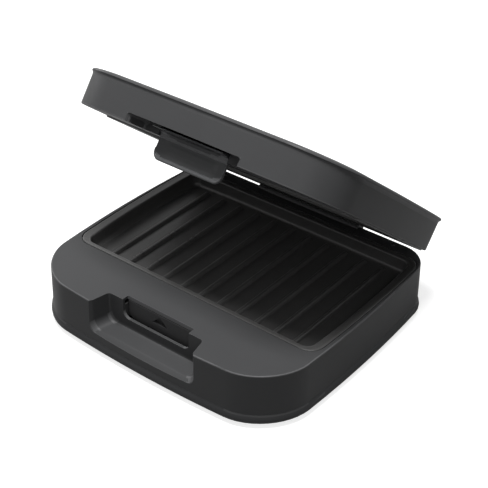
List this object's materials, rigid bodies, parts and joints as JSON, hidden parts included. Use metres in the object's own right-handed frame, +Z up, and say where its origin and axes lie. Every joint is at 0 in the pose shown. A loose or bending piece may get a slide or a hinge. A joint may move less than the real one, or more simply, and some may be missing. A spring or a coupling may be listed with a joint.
{
  "type": "sandwich toaster",
  "caption": "Low black two-slice sandwich toaster: shallow base and matching rear-hinged lid with bowed sides, ribbed grill plates, and a sprung latch in a front finger recess.",
  "frame": {"origin": "centre of the bounding box in the pose drawn, with the lid open, at the bottom of the feet", "axes": "+X to the toaster's right seen from the front, +Y to the back where the hinge is, +Z up"},
  "size_m": [0.2548, 0.242, 0.2069],
  "materials": {
    "casing": "fine-textured moulded black plastic",
    "cover": "fine-textured moulded black plastic",
    "insert": "moulded black plastic",
    "latch": "satin moulded black plastic",
    "grill": "die-cast aluminium with dark non-stick coating",
    "heater": "heat-tinted stainless sheath",
    "reflector": "bright pressed sheet",
    "screw": "zinc-plated steel",
    "pin": "ground steel",
    "spring": "spring steel wire",
    "ceramic": "pale ceramic and moulding",
    "wire": "glass-fibre sleeve",
    "rubber": "black rubber",
    "gland": "black flexible moulding",
    "board": "laminate board",
    "red_lens": "tinted lens",
    "green_lens": "tinted lens"
  },
  "bodies": {
    "base": {"lower_housing": "casing", "base_cover": "cover", "latch_receiver": "insert", "receiver_screws": "screw", "lower_grill_plate": "grill", "lower_heater": "heater", "lower_reflector": "reflector", "lower_plate_screws": "screw", "thermostat": "ceramic", "terminal_block": "ceramic", "lower_leads": "wire", "cord_gland": "gland", "front_left_foot": "rubber", "front_right_foot": "rubber", "back_left_foot": "rubber", "back_right_foot": "rubber", "base_screws": "screw", "left_hinge_pin": "pin", "right_hinge_pin": "pin"},
    "lid": {"lid_housing": "casing", "lid_cover": "cover", "upper_grill_plate": "grill", "upper_heater": "heater", "upper_reflector": "reflector", "upper_plate_screws": "screw", "thermal_fuse": "ceramic", "upper_leads": "wire", "power_lens": "red_lens", "ready_lens": "green_lens", "lamp_board": "board", "lid_screws": "screw", "latch_pin": "pin", "latch_spring": "spring"},
    "latch": {"latch_clip": "latch"}
  },
  "joints": [
    {"name": "lid_hinge", "type": "hinge", "parent": "base", "child": "lid", "pos_m": [0, 0.10025, 0.0457], "axis": [-1, 0, 0], "range_deg": [-38.15, 61.85]},
    {"name": "latch_pivot", "type": "hinge", "parent": "lid", "child": "latch", "pos_m": [0, -0.04804, 0.1721], "axis": [-1, 0, 0], "range_deg": [0, 7], "stiffness_Nm_per_rad": 0.1, "springref_deg": -11.46}
  ]
}
